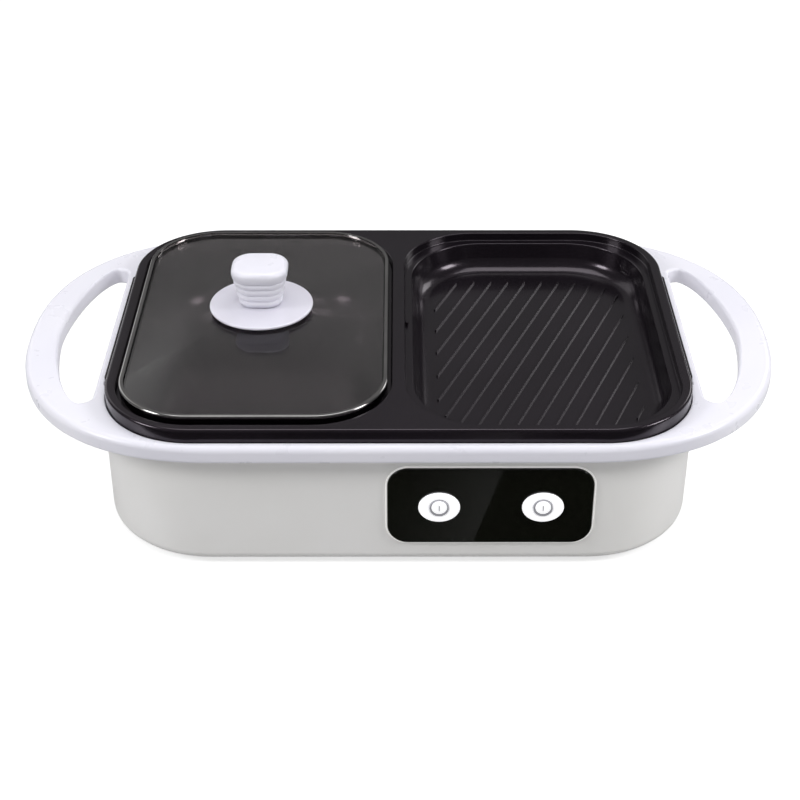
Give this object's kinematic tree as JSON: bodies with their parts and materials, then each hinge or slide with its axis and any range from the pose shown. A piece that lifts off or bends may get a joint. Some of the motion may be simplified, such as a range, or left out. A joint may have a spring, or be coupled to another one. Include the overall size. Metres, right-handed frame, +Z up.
{
  "type": "electric hot pot",
  "caption": "Electric hot pot with a deep well under a smoked glass lid, a shallow ribbed grill well, loop handles and a black front panel with push buttons.",
  "frame": {"origin": "on the ground under the middle of the object", "axes": "+Z up, the control panel faces -Y, +X from the pot well to the grill well"},
  "size_m": [0.533, 0.302, 0.1614],
  "materials": {
    "white_plastic": "satin moulded, slightly lavender white",
    "housing_plastic": "satin moulded, warm pale grey",
    "non_stick": "cast, dark non-stick coating",
    "black_glass": "glossy black panel",
    "smoked_glass": "clear, lightly smoked",
    "steel": "polished steel band",
    "screw_steel": "zinc plated",
    "aluminised": "plain aluminised sheet",
    "heater": "dark sheathed tube",
    "button_white": "glossy domed cap",
    "rubber": "matt",
    "black_plastic": "matt moulded",
    "brass": "bright",
    "board": "circuit board laminate",
    "ceramic": "white glazed ceramic",
    "silicone": "matt"
  },
  "bodies": {
    "cooker": {"lower_housing": "housing_plastic", "base_cover": "black_plastic", "base_screw_front_left": "screw_steel", "base_screw_front_right": "screw_steel", "base_screw_rear_left": "screw_steel", "base_screw_rear_right": "screw_steel", "foot_front_left": "rubber", "foot_front_right": "rubber", "foot_rear_left": "rubber", "foot_rear_right": "rubber", "handle_frame": "white_plastic", "pan_plate": "non_stick", "pan_screw_front": "screw_steel", "pan_screw_rear": "screw_steel", "pot_heating_element": "heater", "pot_heat_shield": "aluminised", "pot_thermostat": "black_plastic", "pot_thermal_fuse": "ceramic", "pot_shield_screw_front": "screw_steel", "pot_shield_screw_rear": "screw_steel", "grill_heating_element": "heater", "grill_heat_shield": "aluminised", "grill_thermostat": "black_plastic", "grill_thermal_fuse": "ceramic", "grill_shield_screw_front": "screw_steel", "grill_shield_screw_rear": "screw_steel", "control_fascia": "black_glass", "pot_button_bezel": "white_plastic", "pot_button_spring": "screw_steel", "pot_push_switch": "black_plastic", "grill_button_bezel": "white_plastic", "grill_button_spring": "screw_steel", "grill_push_switch": "black_plastic", "control_board": "board", "board_screw_left": "screw_steel", "board_screw_right": "screw_steel", "power_inlet": "black_plastic", "inlet_pin_live": "brass", "inlet_pin_neutral": "brass", "inlet_pin_earth": "brass", "terminal_block": "ceramic"},
    "lid": {"lid_rim": "steel", "lid_glass": "smoked_glass", "knob_guard": "white_plastic", "knob_grip": "white_plastic", "knob_screw": "screw_steel", "knob_washer": "silicone"},
    "pot_button": {"pot_button": "button_white"},
    "grill_button": {"grill_button": "button_white"}
  },
  "joints": [
    {"name": "lid_lift", "type": "slide", "parent": "cooker", "child": "lid", "axis": [0, 0, 1], "range_m": [0, 0.12]},
    {"name": "pot_button_press", "type": "slide", "parent": "cooker", "child": "pot_button", "axis": [0, 1, 0], "range_m": [0, 0.0015], "stiffness_N_per_m": 300, "springref_m": -0.002, "deforming": ["pot_button_spring"]},
    {"name": "grill_button_press", "type": "slide", "parent": "cooker", "child": "grill_button", "axis": [0, 1, 0], "range_m": [0, 0.0015], "stiffness_N_per_m": 300, "springref_m": -0.002, "deforming": ["grill_button_spring"]}
  ]
}
